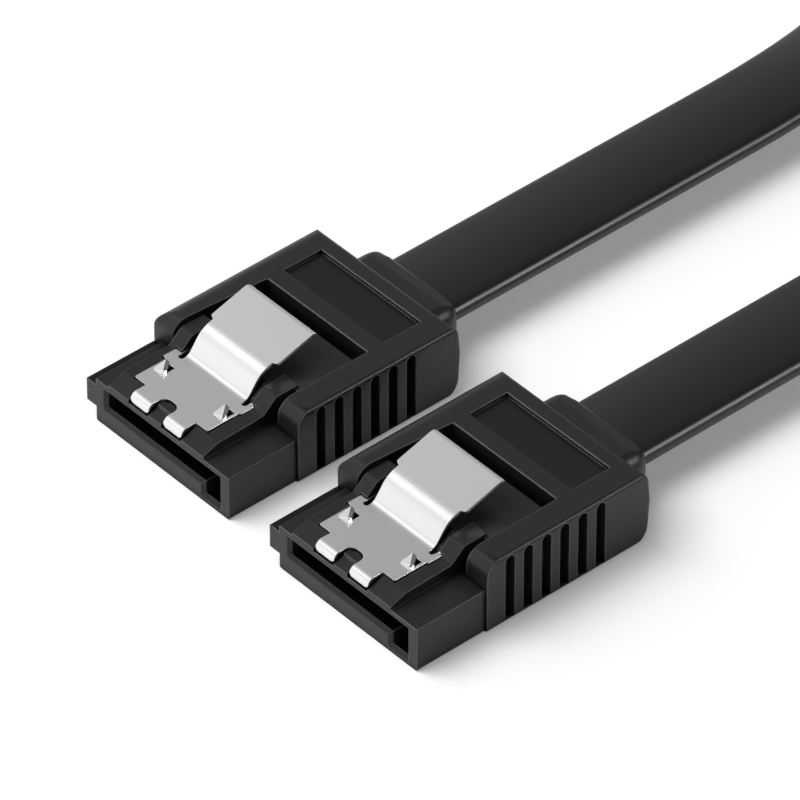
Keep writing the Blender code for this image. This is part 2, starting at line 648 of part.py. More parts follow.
def make_boot():
    """The overmould with its window, grip grooves, bare panel, inner room and cord hole."""
    boot = boot_body()
    shoulder_half = HALF_HOUSING - SHOULDER_INSET + MOULD_GAP
    neck_half = NECK_HALF + MOULD_GAP
    shoulder_room = prism("shoulder_room", rounded(box_outline(
        (-shoulder_half, SHOULDER_BOTTOM - MOULD_GAP), (shoulder_half, NECK_TOP + MOULD_GAP), 0.15), 3),
        "X", BOOT_FRONT - 1, SHOULDER_REAR + MOULD_GAP)
    neck_room = prism("neck_room", rounded(box_outline(
        (-neck_half, NECK_BOTTOM - MOULD_GAP), (neck_half, NECK_TOP + MOULD_GAP), 0.3), 3),
        "X", SHOULDER_REAR - 0.5, MOULD_FRONT)
    window_front = BOOT_FRONT - 1
    window_floor = HOUSING_HEIGHT + WINDOW_FLOOR_RISE
    right = PLATFORM_RIGHT - WINDOW_RIGHT_ROOM
    front_left = DECK_LEFT + WINDOW_FRONT_ROOM
    rear_left = PLATFORM_LEFT + WINDOW_REAR_ROOM
    window = prism("window", [
        (window_front, right), (WINDOW_REAR, right), (WINDOW_REAR, rear_left), (window_front, front_left)],
        "Z", window_floor, BOOT_HEIGHT + 1)
    window_throat = prism("window_throat", [
        (window_front, right), (MOULD_FRONT, right), (MOULD_FRONT, rear_left), (window_front, front_left)],
        "Z", NECK_TOP - 0.3, window_floor + 0.1)
    panel = box("panel", (PANEL_FRONT, PANEL_FRONT + PANEL_LENGTH),
                (PANEL_CENTRE - PANEL_WIDTH / 2, PANEL_CENTRE + PANEL_WIDTH / 2),
                (BOOT_HEIGHT - PANEL_DEPTH, BOOT_HEIGHT + 1))
    mould_room = box("mould_room", (HOUSING_LENGTH - 0.5, MOULD_REAR + MOULD_GAP),
                     (-neck_half, neck_half), (MOULD_BOTTOM - MOULD_GAP, NECK_TOP + MOULD_GAP))
    half_width = CORD_WIDTH / 2 + CORD_GAP
    half_height = CORD_THICKNESS / 2 + CORD_GAP
    cord_hole = prism("cord_hole", rounded(box_outline(
        (-half_width, CORD_LEVEL - half_height), (half_width, CORD_LEVEL + half_height),
        half_height * 0.98), 5), "X", MOULD_REAR - 0.5, PLUG_LENGTH + 1)
    cut(boot, shoulder_room, neck_room, window, window_throat, mould_room, cord_hole)
    cut(boot, panel)
    cut(boot, *grip_grooves())
    return boot


def make_inner_mould():
    """The natural plastic block cast over the contact tails and the cord's pairs."""
    mould = box("inner_mould", (MOULD_FRONT, MOULD_REAR), (-NECK_HALF, NECK_HALF), (MOULD_BOTTOM, NECK_TOP))
    cut(mould, *channel_cutters(MOULD_FRONT - 0.5, CONTACT_TIP + CONTACT_LENGTH + METAL_GAP))
    for y in pair_places():
        cut(mould, prism("pair_room", pair_outline(y, METAL_GAP), "X",
                         MOULD_REAR - PAIR_LENGTH - METAL_GAP, MOULD_REAR + 1))
    return mould


def pair_outline(y, grow):
    """End view of one shielded pair, a flat oval."""
    half = PAIR_WIDTH / 2 + grow
    rise = PAIR_HEIGHT / 2 + grow
    return rounded(box_outline(
        (y - half, CORD_LEVEL - rise), (y + half, CORD_LEVEL + rise), rise * 0.98), 4)


def make_pair():
    """One foil-wrapped pair of wires, from the solder joints back to the cord."""
    return prism("pair", pair_outline(0.0, 0.0), "X", MOULD_REAR - PAIR_LENGTH, MOULD_REAR)


def half_route():
    """The cord's way from a plug to the middle of the hank, as (x, y, z, flatness).

    It runs straight out of the plug, turns on edge, passes through the tie into a far loop,
    comes back through the tie and reaches the near loop. Flatness falls from 1 to 0.
    """
    inner = STRAND_PITCH / 2
    outer = STRAND_PITCH * 1.5
    start = PLUG_FRONT_A + CORD_START
    rise = (EDGE_LEVEL + TIE_LEVEL) / 2
    straight = [(start + 9 * step, PLUG_Y_A, CORD_LEVEL, 1) for step in range(5)]
    leg = [(52, 10.4, CORD_LEVEL, 0.85), (60.5, 15, 3.0, 0.5), (69.4, 17.8, EDGE_LEVEL, 0.15),
           (78.4, 15.8, EDGE_LEVEL, 0), (85.6, 9.8, EDGE_LEVEL, 0), (91.5, 4.3, rise, 0),
           (97.5, outer, TIE_LEVEL, 0), (102.5, outer, TIE_LEVEL, 0), (107, 5.3, rise, 0)]
    far_loop = [(110.2, 10), (111.6, 16.8), (112.8, 24.4), (117, 31), (124.2, 33.4), (131.2, 30.4),
                (135, 23.4), (135, 14.8), (131.4, 7.6), (125.4, 3), (118.8, inner + 0.1)]
    back = [(111.5, inner, rise, 0), (104, inner, TIE_LEVEL, 0), (96, inner, TIE_LEVEL, 0)]
    near_loop = [(88.5, 3.2), (81.2, 9.2), (71.6, 13.4), (62, 11), (57.6, 0)]
    return (straight + leg + [(x, y, EDGE_LEVEL, 0) for x, y in far_loop] + back
            + [(x, y, EDGE_LEVEL, 0) for x, y in near_loop])


def smooth_curve(route, share):
    """The point at a share of the way along a smooth curve steered by the route's points."""
    spans = len(route) - 1
    first = [2 * here - after for here, after in zip(route[0], route[1])]
    last = [2 * here - before for here, before in zip(route[-1], route[-2])]
    steered = [first, *route, last]
    at = min(int(share * spans), spans - 1)
    t = share * spans - at
    weights = ((1 - t) ** 3, 3 * t ** 3 - 6 * t ** 2 + 4, -3 * t ** 3 + 3 * t ** 2 + 3 * t + 1, t ** 3)
    near = steered[at:at + 4]
    return [sum(weight * point[axis] for weight, point in zip(weights, near)) / 6 for axis in range(4)]


def make_cord(finish):
    """The flat cord from plug to plug: an oval section swept along its route, flat at its ends."""
    half = half_route()
    shift = PLUG_Y_B + PLUG_Y_A
    other = []
    for index, (x, y, z, flatness) in enumerate(reversed(half[:-1])):
        from_end = len(half) - 2 - index
        share = min(1.0, max(0.0, (9 - from_end) / 5))
        other.append((x - PLUG_STAGGER * share, shift * share - y, z, -flatness))
    route = half + other
    samples = [smooth_curve(route, index / (CORD_POINTS * 20)) for index in range(CORD_POINTS * 20 + 1)]
    lengths = [0.0]
    for near, far in zip(samples, samples[1:]):
        lengths.append(lengths[-1] + math.dist(near[:3], far[:3]))
    spline_data = bpy.data.curves.new("flat_cord", "CURVE")
    spline_data.dimensions = "3D"
    spline_data.twist_mode = "Z_UP"
    spline_data.extrude = (CORD_WIDTH - CORD_THICKNESS) / 2 * MM
    spline_data.bevel_depth = CORD_THICKNESS / 2 * MM
    spline_data.bevel_resolution = 2
    spline_data.use_fill_caps = True
    spline = spline_data.splines.new("POLY")
    spline.points.add(CORD_POINTS - 1)
    cursor = 0
    for index, point in enumerate(spline.points):
        target = lengths[-1] * index / (CORD_POINTS - 1)
        while cursor < len(lengths) - 2 and lengths[cursor + 1] < target:
            cursor += 1
        x, y, z, flatness = samples[cursor]
        share = (target - lengths[cursor]) / (lengths[cursor + 1] - lengths[cursor])
        x, y, z, flatness = [a + (b - a) * share for a, b in zip(samples[cursor], samples[cursor + 1])]
        point.co = (x * MM, y * MM, z * MM, 1.0)
        point.tilt = math.radians(90) * flatness
    spline_data.materials.append(finish)
    cord = bpy.data.objects.new("flat_cord", spline_data)
    bpy.context.scene.collection.objects.link(cord)
    return cord


def make_tie():
    """The strap round the hank's four strands."""
    room = TIE_ROOM
    half_inside = STRAND_PITCH * 1.5 + CORD_THICKNESS / 2 + room
    low = TIE_LEVEL - CORD_WIDTH / 2 - room
    high = TIE_LEVEL + CORD_WIDTH / 2 + room
    wall = TIE_THICKNESS
    outside = rounded(box_outline((-half_inside - wall, low - wall), (half_inside + wall, high + wall),
                                  TIE_RADIUS))
    inside = rounded(box_outline((-half_inside, low), (half_inside, high), TIE_RADIUS - wall))
    tie = prism("cord_tie", outside, "X", TIE_X - TIE_LENGTH / 2, TIE_X + TIE_LENGTH / 2)
    cut(tie, prism("tie_inside", inside, "X", TIE_X - TIE_LENGTH, TIE_X + TIE_LENGTH))
    return tie


def finish_mesh(item, finish, smooth_angle):
    """Give a piece its material, and smooth shading across gentle angles."""
    item.data.materials.clear()
    item.data.materials.append(finish)
    item.data.shade_smooth()
    item.data.set_sharp_from_angle(angle=math.radians(smooth_angle))


def build_plug(letter, front, middle, meshes):
    """Place one plug's pieces under an empty that stands on its mating face."""
    plug = bpy.data.objects.new("plug_" + letter, None)
    plug.location = Vector((front, middle, 0)) * MM
    bpy.context.scene.collection.objects.link(plug)
    places = [("boot_" + letter, "boot", (0, 0, 0)), ("housing_" + letter, "housing", (0, 0, 0)),
              ("inner_mould_" + letter, "inner_mould", (0, 0, 0)),
              ("latch_" + letter, "latch", (HINGE_X, LATCH_CENTRE, HINGE_Z))]
    for index, y in enumerate(contact_places()):
        places.append(("contact_%s_%d" % (letter, index + 1), "contact", (0, y, 0)))
    for index, y in enumerate(pair_places()):
        places.append(("wire_pair_%s_%d" % (letter, index + 1), "pair", (0, y, 0)))
    for name, kind, location in places:
        item = bpy.data.objects.new(name, meshes[kind])
        item.location = Vector(location) * MM
        item.parent = plug
        bpy.context.scene.collection.objects.link(item)


def main():
    for item in list(bpy.data.objects):
        bpy.data.objects.remove(item)
    finishes = {
        "boot": material("soft_black_plastic", (0.012, 0.012, 0.013), 0.55),
        "housing": material("hard_black_plastic", (0.01, 0.01, 0.011), 0.42),
        "latch": material("satin_stainless", (0.62, 0.61, 0.59), 0.33, 1.0),
        "contact": material("gold_plate", (0.85, 0.62, 0.28), 0.3, 1.0),
        "inner_mould": material("natural_plastic", (0.55, 0.55, 0.52), 0.5),
        "pair": material("bright_foil", (0.75, 0.76, 0.78), 0.35, 1.0),
    }
    pieces = {
        "boot": make_boot(), "housing": make_housing(), "latch": make_latch(),
        "contact": make_contact(), "inner_mould": make_inner_mould(), "pair": make_pair(),
    }
    meshes = {}
    for kind, item in pieces.items():
        finish_mesh(item, finishes[kind], 18 if kind == "latch" else 35)
        meshes[kind] = item.data
        bpy.data.objects.remove(item)
    build_plug("a", PLUG_FRONT_A, PLUG_Y_A, meshes)
    build_plug("b", PLUG_FRONT_B, PLUG_Y_B, meshes)
    make_cord(material("black_jacket", (0.014, 0.014, 0.015), 0.45))
    finish_mesh(make_tie(), material("black_strap", (0.02, 0.02, 0.021), 0.7), 35)


main()
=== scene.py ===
# %% [markdown]
# # A SATA data cable
#
# A black cable lies on white paper under soft light. It has two straight plugs with steel
# latches, and one flat cord between them. This notebook gives its measured solids the finish
# of the real thing: moulded black plastic, satin sheet steel and a smooth flat jacket.

# %% Load the cable
import math

import bmesh
import bpy
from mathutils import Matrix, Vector


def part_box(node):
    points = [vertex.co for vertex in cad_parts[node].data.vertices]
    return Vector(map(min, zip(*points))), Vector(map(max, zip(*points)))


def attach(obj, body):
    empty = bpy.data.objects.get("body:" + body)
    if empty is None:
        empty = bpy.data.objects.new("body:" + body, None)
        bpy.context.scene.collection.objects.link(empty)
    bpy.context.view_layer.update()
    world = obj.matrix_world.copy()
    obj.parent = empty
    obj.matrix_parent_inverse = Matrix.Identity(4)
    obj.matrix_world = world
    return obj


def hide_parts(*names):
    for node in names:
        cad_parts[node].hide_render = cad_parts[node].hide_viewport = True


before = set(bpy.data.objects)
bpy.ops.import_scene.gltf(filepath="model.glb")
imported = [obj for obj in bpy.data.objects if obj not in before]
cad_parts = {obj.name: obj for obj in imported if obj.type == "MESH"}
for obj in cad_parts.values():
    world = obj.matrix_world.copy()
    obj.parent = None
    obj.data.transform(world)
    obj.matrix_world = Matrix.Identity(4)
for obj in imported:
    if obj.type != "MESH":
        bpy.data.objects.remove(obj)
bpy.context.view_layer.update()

MM = 0.001

# %% [markdown]
# ## Where things are
#
# The two plugs are alike, so everything that is made for one is made for the other by a shift.
# Both places come from the solids: a housing's front face is the plug's mating face, and its
# right side lies a known way from the plug's middle.

# %% Plug places
PLUGS = ("a", "b")
HOUSING_RIGHT = 6.3 * MM
plug_origin = {}
for letter in PLUGS:
    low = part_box("housing_" + letter)[0]
    plug_origin[letter] = Vector((low[0], low[1] + HOUSING_RIGHT, 0))
    print("plug", letter, "starts at", [round(value / MM, 2) for value in plug_origin[letter]])

# %% [markdown]
# ## The camera
#
# The photograph looks down at the plugs from in front and from their right, through a long
# lens, so that parallel edges stay nearly parallel. The camera is placed by four facts:
# its azimuth, its elevation, its distance and how many pixels a millimetre takes. The aim
# point is found by walking from the middle of the two plugs' origins, across and up the picture.

# %% Camera
PICTURE = 800
AZIMUTH = math.radians(-41.2)
ELEVATION = math.radians(40.3)
CAMERA_DISTANCE = 560 * MM
PIXELS_PER_MM = 16.27
ORIGIN_PIXEL = (255.9, 541.9)
AIM_HEIGHT = 2.65 * MM
SENSOR_WIDTH = 36
CLIP_START = 10 * MM

toward_camera = Vector((
    math.sin(AZIMUTH) * math.cos(ELEVATION),
    -math.cos(AZIMUTH) * math.cos(ELEVATION),
    math.sin(ELEVATION)))
picture_right = Vector((math.cos(AZIMUTH), math.sin(AZIMUTH), 0))
picture_up = toward_camera.cross(picture_right)

middle = (plug_origin["a"] + plug_origin["b"]) / 2
across = (PICTURE / 2 - ORIGIN_PIXEL[0]) / PIXELS_PER_MM * MM
upward = (ORIGIN_PIXEL[1] - PICTURE / 2) / PIXELS_PER_MM * MM
aim = middle + picture_right * across + picture_up * upward
aim -= toward_camera * (aim.z - AIM_HEIGHT) / toward_camera.z

camera_data = bpy.data.cameras.new("camera")
camera_data.sensor_width = SENSOR_WIDTH
camera_data.lens = SENSOR_WIDTH * CAMERA_DISTANCE / MM * PIXELS_PER_MM / PICTURE
camera_data.clip_start = CLIP_START
camera = bpy.data.objects.new("camera", camera_data)
camera.location = aim + toward_camera * CAMERA_DISTANCE
camera.rotation_mode = "QUATERNION"
camera.rotation_quaternion = toward_camera.to_track_quat("Z", "Y")
bpy.context.scene.collection.objects.link(camera)
bpy.context.scene.camera = camera
print("lens", round(camera_data.lens), "mm, aimed at", [round(value / MM, 1) for value in aim])

# %% [markdown]
# ## Small helpers for shader nodes
#
# The paper, the sky and every finish are built from a few kinds of node. Most of the helpers
# below add one node, connect it and return what comes out of it, so that a finish reads as a
# recipe. The others start a material, fill a socket and scale a colour.

# %% Node helpers


def new_material(name):
    """A new material with its Principled shader, and its nodes and links."""
    finish = bpy.data.materials.new(name)
    finish.use_nodes = True
    return finish, finish.node_tree.nodes, finish.node_tree.links


def feed(links, socket, value):
    """Give a socket its value, which is another socket or plain."""
    if isinstance(value, bpy.types.NodeSocket):
        links.new(value, socket)
    else:
        socket.default_value = value


def math_node(nodes, links, operation, first, second, clamp=True):
    """A Math node on two values. With clamp, the result stays between 0 and 1."""
    step = nodes.new("ShaderNodeMath")
    step.operation = operation
    step.use_clamp = clamp
    feed(links, step.inputs[0], first)
    feed(links, step.inputs[1], second)
    return step.outputs[0]


def dot_product(nodes, links, first, second):
    """How far two directions agree: 1 when they are the same, 0 when square to each other."""
    step = nodes.new("ShaderNodeVectorMath")
    step.operation = "DOT_PRODUCT"
    feed(links, step.inputs[0], first)
    feed(links, step.inputs[1], second)
    return step.outputs["Value"]


def axis_part(nodes, links, vector, axis):
    """One of a vector's three numbers, by its letter."""
    step = nodes.new("ShaderNodeSeparateXYZ")
    links.new(vector, step.inputs[0])
    return step.outputs[axis]


def span(nodes, links, value, low, high, to_low=0.0, to_high=1.0):
    """A Map Range node that takes low..high to to_low..to_high, and stays inside."""
    step = nodes.new("ShaderNodeMapRange")
    limits = (("From Min", low), ("From Max", high), ("To Min", to_low), ("To Max", to_high))
    for name, limit in limits:
        step.inputs[name].default_value = limit
    links.new(value, step.inputs["Value"])
    return step.outputs["Result"]


def blend_colours(nodes, links, factor, first, second):
    """A colour Mix node. Each colour is a socket or a colour with its alpha."""
    step = nodes.new("ShaderNodeMix")
    step.data_type = "RGBA"
    links.new(factor, step.inputs["Factor"])
    feed(links, step.inputs["A"], first)
    feed(links, step.inputs["B"], second)
    return step.outputs["Result"]


def noise(nodes, links, place, scale, detail):
    """Soft noise in space. A higher scale makes it finer."""
    step = nodes.new("ShaderNodeTexNoise")
    step.inputs["Scale"].default_value = scale
    step.inputs["Detail"].default_value = detail
    links.new(place, step.inputs["Vector"])
    return step.outputs["Fac"]


def rounded_normal(nodes, radius, samples):
    """The surface's direction, with its edges rounded for the light."""
    step = nodes.new("ShaderNodeBevel")
    step.samples = samples
    step.inputs["Radius"].default_value = radius
    return step.outputs["Normal"]


def relief(nodes, links, height, depth, normal):
    """The surface's direction, with a fine bump on it."""
    step = nodes.new("ShaderNodeBump")
    step.inputs["Distance"].default_value = depth
    links.new(height, step.inputs["Height"])
    links.new(normal, step.inputs["Normal"])
    return step.outputs["Normal"]


def times(colour, share):
    """A plain colour with each of its numbers multiplied by a share, and its alpha."""
    return [value * share for value in colour] + [1]


print("helpers ready")

# %% [markdown]
# ## Paper
#
# White paper shows a black product best. The paper is a plain plane whose colour is close to
# white, and it glows a touch, but only for the camera and for what mirrors it, so that it lights
# nothing.

# %% Paper
WHITE = (1, 1, 1, 1)
PAPER_WHITE = 0.88
PAPER_LIFT = 0.2
PAPER_ROUGHNESS = 0.9
PAPER_SHINE = 0.1
PAPER_HALF = 1.5
PAPER_DROP = 0.02 * MM

paper_finish, nodes, links = new_material("white_paper")
shader = nodes["Principled BSDF"]
shader.inputs["Base Color"].default_value = (PAPER_WHITE, PAPER_WHITE, PAPER_WHITE, 1)
shader.inputs["Roughness"].default_value = PAPER_ROUGHNESS
shader.inputs["Specular IOR Level"].default_value = PAPER_SHINE
glow = nodes.new("ShaderNodeEmission")
glow.inputs["Color"].default_value = WHITE
path = nodes.new("ShaderNodeLightPath")
seen = math_node(nodes, links, "MAXIMUM", path.outputs["Is Camera Ray"], path.outputs["Is Glossy Ray"])
links.new(math_node(nodes, links, "MULTIPLY", seen, PAPER_LIFT), glow.inputs["Strength"])
both = nodes.new("ShaderNodeAddShader")
links.new(shader.outputs[0], both.inputs[0])
links.new(glow.outputs[0], both.inputs[1])
links.new(both.outputs[0], nodes["Material Output"].inputs["Surface"])

paper_shape = bmesh.new()
bmesh.ops.create_grid(paper_shape, x_segments=1, y_segments=1, size=PAPER_HALF)
paper_mesh = bpy.data.meshes.new("paper")
paper_shape.to_mesh(paper_mesh)
paper_shape.free()
paper = bpy.data.objects.new("paper", paper_mesh)
paper.location.z = -PAPER_DROP
paper_mesh.materials.append(paper_finish)
bpy.context.scene.collection.objects.link(paper)
print("paper", 2 * PAPER_HALF, "m wide, colour", PAPER_WHITE)

# %% [markdown]
# ## Sky
#
# The sky is a wide soft light that fades in two ways: from the side of the plugs' faces to the
# side of the cord, so that the latch, which mirrors that whole arc along its bends, has a
# gradient, and from behind the plugs to overhead, so that the crown of the cord has one too.
# Each fade is a list of places from -1 to 1 along an axis, with the strength there. The camera
# alone sees plain white behind the paper.

# %% Sky
SKY_ALONG = ((-1.0, 1.4), (-0.55, 0.95), (0.06, 0.56), (0.5, 0.45), (1.0, 0.4))
SKY_ACROSS = ((-1.0, 0.3), (0.2, 0.35), (0.57, 1.0), (0.8, 1.5), (1.0, 1.6))
SKY_TOP = 1.6
BACKDROP = 1.0


def sky_fade(nodes, links, direction, axis, stops):
    """The sky's strength along one axis. A curve holds shares of SKY_TOP, as it ends at 1."""
    along = span(nodes, links, axis_part(nodes, links, direction, axis), -1, 1)
    fade = nodes.new("ShaderNodeFloatCurve")
    line = fade.mapping.curves[0].points
    while len(line) < len(stops):
        line.new(0.5, 0.5)
    for point, (place, value) in zip(line, stops):
        point.location = ((place + 1) / 2, value / SKY_TOP)
    fade.mapping.update()
    links.new(along, fade.inputs["Value"])
    return math_node(nodes, links, "MULTIPLY", fade.outputs[0], SKY_TOP, clamp=False)


sky = bpy.data.worlds.new("sky")
sky.use_nodes = True
bpy.context.scene.world = sky
nodes, links = sky.node_tree.nodes, sky.node_tree.links
light = nodes["Background"]
light.inputs["Color"].default_value = WHITE
direction = nodes.new("ShaderNodeTexCoord").outputs["Generated"]
along_x = sky_fade(nodes, links, direction, "X", SKY_ALONG)
along_y = sky_fade(nodes, links, direction, "Y", SKY_ACROSS)
strength = math_node(nodes, links, "MULTIPLY", along_x, along_y, clamp=False)
links.new(strength, light.inputs["Strength"])
backdrop = nodes.new("ShaderNodeBackground")
backdrop.inputs["Color"].default_value = WHITE
backdrop.inputs["Strength"].default_value = BACKDROP
path = nodes.new("ShaderNodeLightPath")
choose = nodes.new("ShaderNodeMixShader")
links.new(path.outputs["Is Camera Ray"], choose.inputs[0])
links.new(light.outputs[0], choose.inputs[1])
links.new(backdrop.outputs[0], choose.inputs[2])
links.new(choose.outputs[0], nodes["World Output"].inputs["Surface"])
print("sky from", SKY_ALONG[0][1], "to", SKY_ALONG[-1][1], "along the plugs")

# %% [markdown]
# ## Lamps
#
# Three softboxes complete the light. The key is large, behind the plugs and to their left, and
# throws the soft shadows. The band is a slim box that the bend of each latch mirrors as a bright
# line. The strip, tall and at the right, draws the right edges of the plugs and the cord. The
# key lights and shades but isn't mirrored, and the strip is mirrored but doesn't light up matt
# surfaces. Each box is given by how bright its face looks, and its power follows from that. Its
# offset from the aim point is a direction times a distance in metres.

# %% Lamps
KEY = {"look": 5.0, "size": (0.44, 0.44), "offset": Vector((-0.36, 0.3, 0.88)) * 0.6}
BAND = {"look": 1.15, "size": (0.3, 0.12), "offset": Vector((-0.28, 0.58, 0.76)) * 0.6}
STRIP = {"look": 13.0, "size": (0.11, 0.26), "offset": Vector((0.5, -0.65, 0.57)) * 0.5}


def softbox(name, offset, size, look):
    """An area lamp that faces the aim point. Its size is its width and its height."""
    lamp = bpy.data.lights.new(name, "AREA")
    lamp.shape = "RECTANGLE"
    lamp.size, lamp.size_y = size
    lamp.energy = look * math.pi * size[0] * size[1]
    stand = bpy.data.objects.new(name, lamp)
    stand.location = aim + offset
    stand.rotation_mode = "QUATERNION"
    stand.rotation_quaternion = offset.to_track_quat("Z", "Y")
    bpy.context.scene.collection.objects.link(stand)
    return stand


key = softbox("key", **KEY)
key.visible_glossy = False
band = softbox("band", **BAND)
strip = softbox("strip", **STRIP)
strip.visible_diffuse = False
bpy.context.scene.view_settings.view_transform = "Standard"
for stand in (key, band, strip):
    print(stand.name, round(stand.data.energy, 2), "W")

# %% [markdown]
# ## Moulded black plastic
#
# The boots, the housings, the jacket and the strap are all black plastic, and what tells them
# apart is their gloss and their grain. One recipe makes such a finish: a near-black colour that
# drifts a little, a roughness that drifts too, and a fine bump. The Bevel node rounds what the
# light sees of each edge. Where it turns the surface most, a painted highlight makes the colour
# paler, but only on the edges that face the plugs' front or their right. Ambient occlusion finds
# the grooves and creases and paints shade into them: they are darker, and duller too. The
# floors of the boot's recess and of the housing's slot get a darker painted shade still.

# %% Black finishes
CLOUD_SIZE = 4
CLOUD_DETAIL = 2
GRAIN_DETAIL = 1
DARKER = 0.85
PALER = 1.15
GLOSS_DRIFT = 0.05
# The painted edge highlight goes on edges that face this way.
HIGHLIGHT_SIDE = (-0.66, -0.75, 0)
HIGHLIGHT_FACING = (-0.05, 0.12)
EDGE_TURN = (0.985, 0.82)
EDGE_SAMPLES = 8
OPEN_SAMPLES = 8
OPEN_DISTANCE = 1.4
# Share of the colour left in the deepest creases: painted shade.
CREASE_SHADE = 0.05
CREASE_DULLNESS = 0.6
LEVEL = 0.98
# Colour of the painted highlight on outer edges.
EDGE_HIGHLIGHT_GREY = (0.17, 0.17, 0.175, 1)
BLACK = (0.013, 0.013, 0.0135)
STRAP_BLACK = (0.014, 0.014, 0.015)
JACKET_BLACK = (0.007, 0.007, 0.0075)
TIGHT_CREASE = (0.42, 0.62)
SOFT_CREASE = (0.3, 0.5)
# Level floors between these heights in millimetres keep this share of the colour: painted shade.
BOOT_RECESS_SHADE = (4.9, 5.2, 0.3)
SLOT_FLOOR_SHADE = (0.3, 2.9, 0.05)


def painted_edge_highlight(nodes, links, rounded, normal):
    """How far a place lies on an outer edge that gets the painted highlight, from 0 to 1."""
    turn = dot_product(nodes, links, rounded, normal)
    ridge = span(nodes, links, turn, *EDGE_TURN)
    facing = dot_product(nodes, links, rounded, HIGHLIGHT_SIDE)
    lit_side = span(nodes, links, facing, *HIGHLIGHT_FACING)
    return math_node(nodes, links, "MULTIPLY", ridge, lit_side)


def shaded_sunk_faces(nodes, links, place, normal, bottom, top):
    """1 on level faces between two heights, and 0 elsewhere."""
    height = axis_part(nodes, links, place, "Z")
    above = math_node(nodes, links, "GREATER_THAN", height, bottom)
    below = math_node(nodes, links, "LESS_THAN", height, top)
    level = math_node(nodes, links, "GREATER_THAN", axis_part(nodes, links, normal, "Z"), LEVEL)
    between = math_node(nodes, links, "MULTIPLY", above, below)
    return math_node(nodes, links, "MULTIPLY", between, level)


def moulded(name, colour, roughness, shine, grain, edge, crease, highlight_colour=EDGE_HIGHLIGHT_GREY, sunk_shade=None):
    """Moulded plastic. The grain is its size and depth, the edge its radius, in millimetres.

    The crease is how open a place is when its painted shade is black and when it is plain. Sunk
    gives the heights between which a level face gets painted shade, and the share of the colour
    that it keeps. The paler edge colour is a painted highlight.
    """
    finish, nodes, links = new_material(name)
    shader = nodes["Principled BSDF"]
    shader.inputs["Specular IOR Level"].default_value = shine
    place = nodes.new("ShaderNodeTexCoord").outputs["Object"]
    normal = nodes.new("ShaderNodeNewGeometry").outputs["Normal"]
    rounded = rounded_normal(nodes, edge * MM, EDGE_SAMPLES)
    cloud = noise(nodes, links, place, 1 / (CLOUD_SIZE * MM), CLOUD_DETAIL)
    opening = nodes.new("ShaderNodeAmbientOcclusion")
    opening.samples = OPEN_SAMPLES
    opening.inputs["Distance"].default_value = OPEN_DISTANCE * MM
    open_air = span(nodes, links, opening.outputs["AO"], *crease)

    tint = blend_colours(nodes, links, cloud, times(colour, DARKER), times(colour, PALER))
    # Painted shade on the sunk floors of the boot's recess and the housing's slot.
    if sunk_shade:
        bottom, top, share = sunk_shade
        floor_shade = shaded_sunk_faces(nodes, links, place, normal, bottom * MM, top * MM)
        tint = blend_colours(nodes, links, floor_shade, tint, times(colour, share))
    # Painted highlight: a paler colour on outer edges that face the front and the right.
    edge_highlight = painted_edge_highlight(nodes, links, rounded, normal)
    open_edge_highlight = math_node(nodes, links, "MULTIPLY", edge_highlight, open_air)
    highlighted = blend_colours(nodes, links, open_edge_highlight, tint, highlight_colour)
    # Painted shade: grooves and creases go darker by ambient occlusion.
    shaded = blend_colours(nodes, links, open_air, times(colour, CREASE_SHADE), highlighted)
    links.new(shaded, shader.inputs["Base Color"])

    gloss = span(nodes, links, cloud, 0, 1, roughness - GLOSS_DRIFT, roughness + GLOSS_DRIFT)
    dull = span(nodes, links, open_air, 0, 1, CREASE_DULLNESS, 0)
    links.new(math_node(nodes, links, "ADD", gloss, dull), shader.inputs["Roughness"])
    grain_size, grain_depth = grain
    fine = noise(nodes, links, place, 1 / (grain_size * MM), GRAIN_DETAIL)
    links.new(relief(nodes, links, fine, grain_depth * MM, rounded), shader.inputs["Normal"])
    return finish


boot_finish = moulded("boot_plastic", BLACK, roughness=0.4, shine=0.35, grain=(0.12, 0.002),
                      edge=0.18, crease=TIGHT_CREASE, sunk_shade=BOOT_RECESS_SHADE)
housing_finish = moulded("housing_plastic", BLACK, roughness=0.38, shine=0.3, grain=(0.2, 0.001),
                         edge=0.13, crease=TIGHT_CREASE, sunk_shade=SLOT_FLOOR_SHADE)
jacket_finish = moulded("jacket_plastic", JACKET_BLACK, roughness=0.34, shine=0.5,
                        grain=(0.25, 0.001), edge=0.05, crease=SOFT_CREASE)
strap_finish = moulded("strap_plastic", STRAP_BLACK, roughness=0.6, shine=0.4,
                       grain=(0.15, 0.005), edge=0.1, crease=SOFT_CREASE)
for finish in (boot_finish, housing_finish, jacket_finish, strap_finish):
    print(finish.name, "has", len(finish.node_tree.nodes), "nodes")

# %% [markdown]
# ## Bright finishes
#
# The latch is stainless sheet with a satin surface: rolling has left fine lines along it, so
# its shine is drawn out. The contacts are gold over a spring alloy. The block behind them is
# plain uncoloured plastic, and the wire pairs wear thin foil. These last three hide inside the
# plug, and show only in its slot.

# %% Metal and inner finishes
SHEET_SAMPLES = 4
LINE_DETAIL = 3
LINE_SHINIER = 0.05
LINE_DULLER = 0.06


